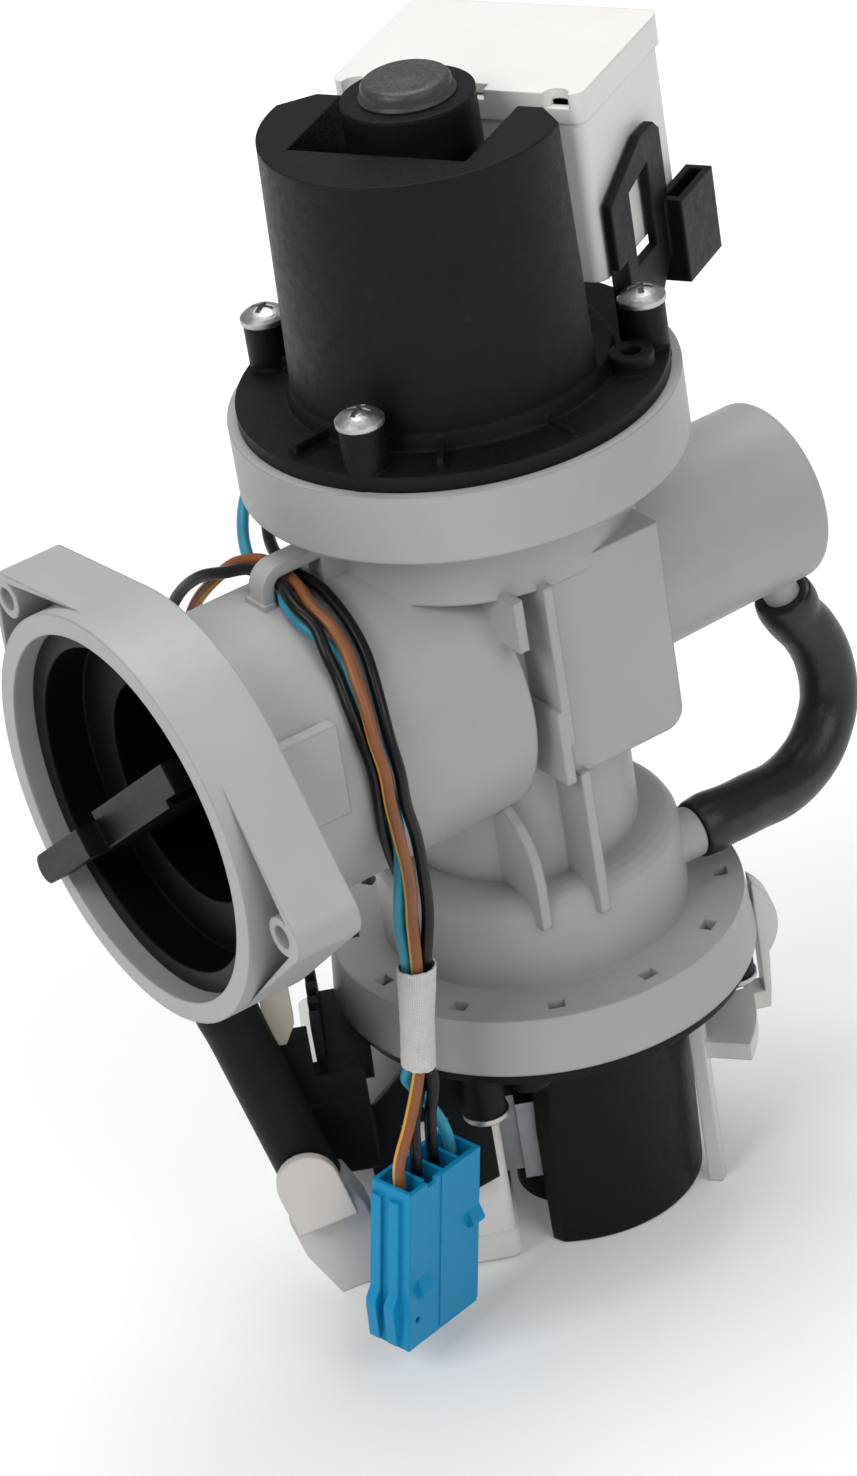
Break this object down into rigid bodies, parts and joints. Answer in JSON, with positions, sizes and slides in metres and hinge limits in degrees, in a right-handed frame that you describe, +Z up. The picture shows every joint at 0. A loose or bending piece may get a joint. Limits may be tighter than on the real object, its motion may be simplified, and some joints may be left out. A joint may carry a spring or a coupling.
{
  "type": "washer drain pump",
  "caption": "Washer drain pump: moulded casing with a filter cap and port collar, stacked pump motors, hoses, drain stopper and a wired connector.",
  "frame": {"origin": "centre of the lower motor's end face, on the common motor axis", "axes": "+Z up along the motor axis, -Y out of the filter port, +Y out of the inlet tube"},
  "size_m": [0.1122, 0.1686, 0.2448],
  "materials": {
    "casing_grey": "moulded, satin",
    "bracket_black": "moulded, satin",
    "cap_black": "moulded, satin",
    "basket_grey": "moulded, satin",
    "housing_white": "moulded, satin",
    "bracket_offwhite": "moulded, satin",
    "stator_iron": "laminated sheet",
    "coil_copper": "wound enamelled wire",
    "magnet_grey": "sintered ferrite",
    "shaft_steel": "ground",
    "bush_bronze": "sintered",
    "impeller_black": "moulded",
    "seal_rubber": "smooth",
    "hose_rubber": "extruded, satin",
    "nose_rubber": "smooth",
    "screw_steel": "zinc plated",
    "plug_beige": "moulded, satin",
    "terminal_beige": "moulded, satin",
    "wire_blue_skin": "extruded",
    "wire_black_skin": "extruded",
    "wire_brown_skin": "extruded",
    "sleeve_white": "woven tape",
    "connector_blue": "moulded, gloss"
  },
  "bodies": {
    "pump": {"pump_casing": "casing_grey", "support_bracket": "bracket_offwhite", "upper_motor_bracket": "bracket_black", "upper_stator_housing": "housing_white", "upper_stator_core": "stator_iron", "upper_stator_coils": "coil_copper", "upper_rotor_bushes": "bush_bronze", "upper_bearing_holder": "bracket_black", "upper_motor_seal": "seal_rubber", "upper_motor_screws": "screw_steel", "upper_nose_cap": "nose_rubber", "lower_motor_bracket": "bracket_black", "lower_stator_housing": "housing_white", "lower_stator_core": "stator_iron", "lower_stator_coils": "coil_copper", "lower_rotor_bushes": "bush_bronze", "lower_bearing_holder": "bracket_black", "lower_motor_seal": "seal_rubber", "lower_motor_screws": "screw_steel", "lower_terminal_plug": "terminal_beige", "lower_plug_guard": "bracket_black", "upper_terminal_plug": "terminal_beige", "bypass_hose": "hose_rubber", "drain_hose": "hose_rubber", "wire_blue": "wire_blue_skin", "wire_black_upper": "wire_black_skin", "wire_brown": "wire_brown_skin", "wire_black_lower": "wire_black_skin", "tape_sleeve": "sleeve_white", "harness_connector": "connector_blue"},
    "filter_carrier": {"filter_seal": "seal_rubber"},
    "filter": {"filter_cap": "cap_black", "filter_basket": "basket_grey"},
    "drain_stopper": {"drain_plug": "plug_beige"},
    "upper_rotor": {"upper_rotor_magnet": "magnet_grey", "upper_rotor_shaft": "shaft_steel", "upper_impeller": "impeller_black"},
    "lower_rotor": {"lower_rotor_magnet": "magnet_grey", "lower_rotor_shaft": "shaft_steel", "lower_impeller": "impeller_black"}
  },
  "joints": [
    {"name": "filter_slide", "type": "slide", "parent": "pump", "child": "filter_carrier", "axis": [0, -1, 0], "range_m": [0, 0.075]},
    {"name": "filter_turn", "type": "hinge", "parent": "filter_carrier", "child": "filter", "pos_m": [0, -0.0857, 0.1254], "axis": [0, -1, 0], "range_deg": [0, 90]},
    {"name": "stopper_slide", "type": "slide", "parent": "pump", "child": "drain_stopper", "axis": [0.1859, 0.184, -0.9652], "range_m": [0, 0.012]},
    {"name": "upper_rotor_spin", "type": "hinge", "parent": "pump", "child": "upper_rotor", "pos_m": [0, 0, 0.181], "axis": [0, 0, 1], "continuous": true},
    {"name": "lower_rotor_spin", "type": "hinge", "parent": "pump", "child": "lower_rotor", "pos_m": [0, 0, 0.0528], "axis": [0, 0, 1], "continuous": true}
  ]
}
